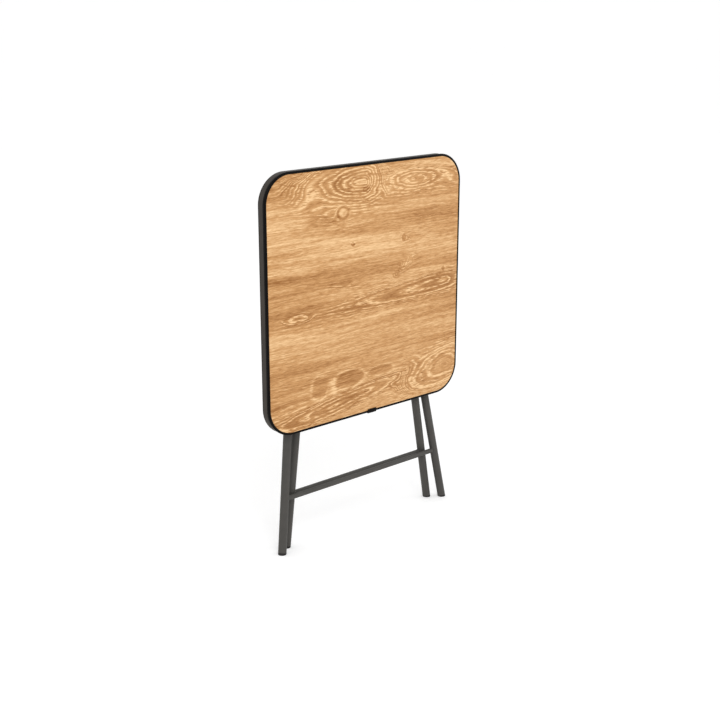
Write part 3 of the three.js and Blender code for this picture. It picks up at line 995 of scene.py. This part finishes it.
def screw_shape(length):
    """A pan-head screw along +Z, its head's crown at the origin."""
    crown = [
        (SCREW_HEAD * math.sin(a) ** 0.8, HEAD_HEIGHT * (1 - math.cos(a)) * 0.8)
        for a in (math.pi / 2 * step / 10 for step in range(1, 11))
    ]
    outline = [(0, 0), *crown, (SCREW_HEAD, HEAD_HEIGHT), (SCREW_SHANK, HEAD_HEIGHT)]
    turns = int((length - HEAD_HEIGHT - 3 * MM) / SCREW_PITCH)
    for step in range(2 * turns):
        ridge = 0 if step % 2 else RIDGE
        outline.append((SCREW_SHANK - ridge, HEAD_HEIGHT + (step + 1) * SCREW_PITCH / 2))
    outline += [(0.2 * MM, length), (0, length)]
    return turn(outline, (0, 0, 0), (0, 0, 1), steps=SCREW_STEPS)


print("a screw's head is", round(2 * SCREW_HEAD / MM, 1), "mm wide")

# %% Set the screws
screw_nodes = sorted(node for node in frame["nodes"] if "screw" in node)
screw_kinds = {}
for node in screw_nodes:
    low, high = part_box(node)
    length = round((high.y - low.y) / MM, 1)
    if length not in screw_kinds:
        screw_kinds[length] = cut(screw_shape(length * MM), cross_cutter())
    shape = screw_kinds[length].copy()
    spin = Matrix.Rotation(random.uniform(0, math.pi / 2), 4, "Z")
    stand = Matrix.Rotation(math.pi / 2, 4, "X")
    place = Matrix.Translation(((low.x + high.x) / 2, high.y, (low.z + high.z) / 2))
    bmesh.ops.transform(shape, matrix=place @ stand @ spin, verts=shape.verts)
    hang(f"{node}_pan_head", shape, node)
for shape in screw_kinds.values():
    shape.free()
print(len(screw_nodes), "screws in lengths of", sorted(screw_kinds), "mm")

# %% [markdown]
# ## The rim
#
# The rim is a strip of sheet steel, rolled to a section and bent round the top. Its front edge
# is a fat bead that stands a little proud of the side, with a groove behind it, and its back
# edge is hemmed. The section is drawn once and swept round the rounded square, which keeps the
# bead the same all round and gives the corners as many steps as they need.

# %% Sweep a section round the top
CORNER_STEPS = 28
RIM_CORNER = 70 * MM
rim_low, rim_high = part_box("rim_band")
rim_middle = (rim_low + rim_high) / 2
rim_half = (rim_high.x - rim_low.x) / 2
rim_depth = rim_high.y - rim_low.y
rim_face = rim_low.y


def rounded_square(inset, y):
    """Points round the top's outline, moved inwards, at one depth."""
    corner = rim_half - RIM_CORNER
    radius = RIM_CORNER - inset
    points = []
    for quarter in range(4):
        spread = math.pi / 4 + quarter * math.pi / 2
        centre = (math.copysign(corner, math.cos(spread)), math.copysign(corner, math.sin(spread)))
        for step in range(CORNER_STEPS + 1):
            angle = (quarter + step / CORNER_STEPS) * math.pi / 2
            x = centre[0] + radius * math.cos(angle)
            z = centre[1] + radius * math.sin(angle)
            points.append(Vector((rim_middle.x + x, y, rim_middle.z + z)))
    return points


def sweep(section):
    """Carries a closed section of (inset, depth) points round the top."""
    shape = bmesh.new()
    loops = [rounded_square(inset, rim_face + depth) for inset, depth in section]
    skin(shape, loops, True)
    return shape


print("the rim is", round(rim_half * 2 / MM), "mm square and", round(rim_depth / MM, 1), "mm deep")

# %% [markdown]
# The skirt and the bead are drawn as two sections, in millimetres: how far in from the outline,
# and how far back from the front. The bead is a dull, deeper black than the skirt's flat side,
# so its faces take their own finish. The groove behind the bead and the hemmed back edge take
# the same black as painted shade, standing in for the shade their small folds would cast.

# %% Sweep the skirt and the bead
BEAD_WIDTH = 5.7         # from the outline to the board
SKIRT_INSET = 1.1        # the skirt stands this far behind the bead
# The groove and hem widths mark the skirt faces that are painted black as shade.
GROOVE_SHADE_DEPTH = 7.0       # the groove behind the bead ends here
HEM_SHADE_WIDTH = 3.0                # the folded back edge


def in_mm(points):
    """A section with its millimetres turned into metres."""
    return [(inset * MM, depth * MM) for inset, depth in points]


rim_back = rim_depth / MM
side_inset = SKIRT_INSET
skirt_section = in_mm(
    [(3.4, 4.2), (1.6, 4.4), (1.5, 5.6), (side_inset + 0.4, 6.6), (side_inset, 7.4)]
    + [(side_inset, rim_back - 3.2), (side_inset, rim_back - 1.6)]
    + bend((side_inset + 1.2, rim_back - 1.2), 1.2, 180, 90, 4)
    + bend((4.4, rim_back - 0.6), 0.6, 90, 0, 3)
    + [(4.4, rim_back - 1.2), (2.6, rim_back - 1.4), (2.6, 11.2), (12, 11.2), (12, 10.0)]
    + [(3.4, 10.0)]
)
bead_section = in_mm(
    bend((2.4, 2.4), 2.4, 270, 180, 8)
    + bend((1.6, 3.6), 1.6, 180, 90, 5)
    + [(BEAD_WIDTH, 5.2), (BEAD_WIDTH, 0.7)]
    + bend((5.1, 0.6), 0.6, 0, -90, 4)
)
skirt = hang("rim_skirt", sweep(skirt_section), "rim_band")
skirt.data.materials.append(FINISHES["rim_black_and_painted_shade"])
# Painted shade: the skirt's groove faces behind the bead and its hem faces at the back edge take the
# black finish.
for polygon in skirt.data.polygons:
    depth = (polygon.center.y - rim_face) / MM
    if depth < GROOVE_SHADE_DEPTH or depth > rim_back - HEM_SHADE_WIDTH:
        polygon.material_index = 1
bead = hang("rim_rolled_bead", sweep(bead_section), "rim_band", hide=False)
bead.material_slots[0].material = FINISHES["rim_black_and_painted_shade"]
print("the rim has", len(skirt.data.polygons) + len(bead.data.polygons), "faces")

# %% [markdown]
# ## The panel
#
# The panel is a laminated board that drops into the rim. It is flat, so its outline does the
# work: the corners need many steps, because they run right beside the rim's own curve, and the
# edge of the laminate is eased by a hair, which catches a thin line of light.

# %% Cut the panel
PANEL_GAP = 0.15 * MM
EASE = 0.25 * MM


def panel_shape():
    """Rings from the middle of the front face, over the edge, to the back face."""
    inset = BEAD_WIDTH * MM + PANEL_GAP
    front, back = panel_low.y, panel_high.y
    rings = [
        rounded_square(inset + EASE, front),
        rounded_square(inset, front + EASE),
        rounded_square(inset, back - EASE),
        rounded_square(inset + EASE, back),
    ]
    shape = bmesh.new()
    grid = skin(shape, rings, False)
    shape.faces.new(grid[0])
    shape.faces.new(grid[-1])
    return shape


panel = hang("top_panel_board", panel_shape(), "top_panel")
panel.data.materials.append(FINISHES["backing"])
for polygon in panel.data.polygons:
    if polygon.normal.y > 0.5:
        polygon.material_index = 1
print("the board is", round((panel_high.y - panel_low.y) / MM, 1), "mm thick")

# %% [markdown]
# ## Rails, brackets, bushes and clip
#
# The folded and moulded parts already have their true shapes. They only lack the soft edge that
# bending, paint and moulding leave. They could be built again, but their own meshes are kept
# and get three modifiers: one joins the corners of neighbouring facets, one shades the faces
# smooth, and one rounds every sharp edge by a fraction of a millimetre.

# %% Write the smooth-shading modifier
def smooth_shading():
    """A geometry node group that shades every face smooth and leaves the mesh itself alone."""
    group = bpy.data.node_groups.new("smooth shading", "GeometryNodeTree")
    group.interface.new_socket("Geometry", in_out="INPUT", socket_type="NodeSocketGeometry")
    group.interface.new_socket("Geometry", in_out="OUTPUT", socket_type="NodeSocketGeometry")
    start = group.nodes.new("NodeGroupInput")
    smooth = group.nodes.new("GeometryNodeSetShadeSmooth")
    end = group.nodes.new("NodeGroupOutput")
    group.links.new(start.outputs[0], smooth.inputs["Geometry"])
    group.links.new(smooth.outputs["Geometry"], end.inputs[0])
    return group


SMOOTH = smooth_shading()
print("smooth shading takes", len(SMOOTH.nodes), "nodes")

# %% Soften the measured parts and paint them
# The width of the rounding on each kind of part, in millimetres.
SOFT_EDGES = {"rail": 0.5, "hinge_bracket": 0.45, "catch_bracket": 0.8, "bush": 0.3, "clip": 0.25}
SHARP_ANGLE = math.radians(35)


def soften(node, width):
    """Rounds the sharp edges of a measured part and gives it its finish."""
    part = frame["nodes"][node]
    weld_corners = part.modifiers.new("join corners", "WELD")
    weld_corners.merge_threshold = 0.01 * MM
    shading = part.modifiers.new("shade smooth", "NODES")
    shading.node_group = SMOOTH
    edges = part.modifiers.new("round edges", "BEVEL")
    edges.width = width * MM
    edges.segments = 3
    edges.limit_method = "ANGLE"
    edges.angle_limit = SHARP_ANGLE
    edges.harden_normals = True
    finish = "rim_black_and_painted_shade" if "clip" in node else slot_of_node(node)
    for slot in part.material_slots:
        slot.material = FINISHES[finish]


softened = []
for node, part in frame["nodes"].items():
    kind = next((word for word in SOFT_EDGES if word in node), None)
    if kind and not part.hide_render:
        soften(node, SOFT_EDGES[kind])
        softened.append(node)
print("softened:", ", ".join(sorted(softened)))

# %% [markdown]
# ## Sizes, and the end
#
# The finished box is printed in millimetres, to set beside the measured model's height,
# which is printed at the start of the script.

# %% Write the sizes and finish
low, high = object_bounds()
print("finished size", [round((b - a) / MM, 1) for a, b in zip(low, high)], "mm")
